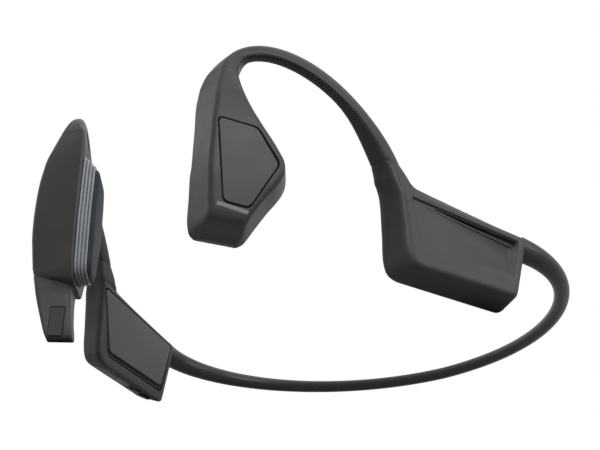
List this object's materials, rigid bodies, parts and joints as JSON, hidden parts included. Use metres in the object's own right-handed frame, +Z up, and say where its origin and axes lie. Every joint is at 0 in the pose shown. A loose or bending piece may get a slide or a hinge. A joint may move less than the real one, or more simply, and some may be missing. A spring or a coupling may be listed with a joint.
{
  "type": "bone conduction headphones",
  "caption": "Open-ear bone conduction headset: springy band behind the neck, battery and control modules, ear hooks, and cheekbone pads on soft bellows, resting on a flat surface.",
  "frame": {"origin": "middle of the bounding box's footprint, on the surface that the headset rests on", "axes": "+X towards the wearer's left, +Y towards the back of the neckband, +Z up; the ear-to-ear width lies along X"},
  "size_m": [0.135, 0.1116, 0.0609],
  "materials": {
    "charcoal_shell": "fine matt texture",
    "soft_hook": "soft-touch silicone over the wire, matt",
    "inner_cover": "fine matt texture",
    "outer_panel": "fine matt texture",
    "touch_plate": "matt face with a satin edge",
    "band_sleeve": "smooth, satin to glossy black",
    "bellows_rubber": "matt grey silicone",
    "pad_rubber": "matt bluish-black silicone",
    "slate_rubber": "matt bluish-grey silicone",
    "slate_plastic": "matt bluish-grey",
    "memory_alloy": "drawn wire",
    "cable_jacket": "smooth jacket",
    "battery_foil": "thin laminate foil",
    "circuit_board": "solder mask",
    "seal_rubber": "soft matt",
    "plated_steel": "plated",
    "magnet": "nickel plated",
    "coil_bobbin": "wound copper on a moulded cup",
    "acoustic_mesh": "woven mesh"
  },
  "bodies": {
    "neckband": {"neckband_sleeve": "band_sleeve", "memory_wire": "memory_alloy", "neckband_cable": "cable_jacket"},
    "left_side": {"left_neckband_sleeve": "band_sleeve", "left_module_housing": "charcoal_shell", "left_module_cover": "inner_cover", "left_outer_panel": "outer_panel", "battery_cell": "battery_foil", "battery_board": "circuit_board", "left_cover_seal": "seal_rubber", "left_ear_hook": "soft_hook", "left_hook_wire": "memory_alloy", "left_hook_cable": "cable_jacket", "left_pod_housing": "charcoal_shell", "button_gasket": "seal_rubber", "button_switch": "plated_steel", "left_pod_board": "circuit_board", "left_yoke": "plated_steel", "left_magnet": "magnet", "left_bellows": "bellows_rubber"},
    "multifunction_button": {"multifunction_button": "touch_plate"},
    "left_pad": {"left_contact_pad": "pad_rubber", "left_voice_coil": "coil_bobbin"},
    "right_side": {"right_neckband_sleeve": "band_sleeve", "right_module_housing": "charcoal_shell", "right_module_cover": "inner_cover", "right_outer_panel": "outer_panel", "main_board": "circuit_board", "usb_socket": "plated_steel", "volume_up_switch": "plated_steel", "volume_down_switch": "plated_steel", "right_cover_seal": "seal_rubber", "right_ear_hook": "soft_hook", "right_hook_wire": "memory_alloy", "right_hook_cable": "cable_jacket", "right_pod_housing": "charcoal_shell", "right_pod_plate": "touch_plate", "right_pod_board": "circuit_board", "right_yoke": "plated_steel", "right_magnet": "magnet", "right_bellows": "bellows_rubber", "microphone": "plated_steel", "microphone_grille": "acoustic_mesh"},
    "port_cover": {"port_cover": "slate_rubber"},
    "volume_up_button": {"volume_up_button": "slate_plastic"},
    "volume_down_button": {"volume_down_button": "slate_plastic"},
    "right_pad": {"right_contact_pad": "pad_rubber", "right_voice_coil": "coil_bobbin"}
  },
  "joints": [
    {"name": "left_spread", "type": "hinge", "parent": "neckband", "child": "left_side", "pos_m": [0.04594, 0.04158, 0.00734], "axis": [0, 0.2691, 0.9631], "range_deg": [0, 20], "stiffness_Nm_per_rad": 0.3, "deforming": ["memory_wire", "neckband_cable"]},
    {"name": "right_spread", "type": "hinge", "parent": "neckband", "child": "right_side", "pos_m": [-0.04594, 0.04158, 0.00734], "axis": [0, -0.2691, -0.9631], "range_deg": [0, 20], "stiffness_Nm_per_rad": 0.3, "deforming": ["memory_wire", "neckband_cable"]},
    {"name": "multifunction_press", "type": "slide", "parent": "left_side", "child": "multifunction_button", "axis": [-0.7488, 0.6606, -0.0544], "range_m": [0, 0.0004], "stiffness_N_per_m": 2500},
    {"name": "left_pad_drive", "type": "slide", "parent": "left_side", "child": "left_pad", "axis": [0.7488, -0.6606, 0.0544], "range_m": [0, 0.0006], "stiffness_N_per_m": 4000, "deforming": ["left_bellows"]},
    {"name": "right_pad_drive", "type": "slide", "parent": "right_side", "child": "right_pad", "axis": [-0.7488, -0.6606, 0.0544], "range_m": [0, 0.0006], "stiffness_N_per_m": 4000, "deforming": ["right_bellows"]},
    {"name": "volume_up_press", "type": "slide", "parent": "right_side", "child": "volume_up_button", "axis": [0.2658, 0.2608, 0.9281], "range_m": [0, 0.0004], "stiffness_N_per_m": 2500},
    {"name": "volume_down_press", "type": "slide", "parent": "right_side", "child": "volume_down_button", "axis": [0.2658, 0.2608, 0.9281], "range_m": [0, 0.0004], "stiffness_N_per_m": 2500},
    {"name": "port_cover_open", "type": "hinge", "parent": "right_side", "child": "port_cover", "pos_m": [-0.05615, -0.01668, 0.00532], "axis": [-0.9163, -0.231, 0.3273], "range_deg": [0, 100]}
  ]
}
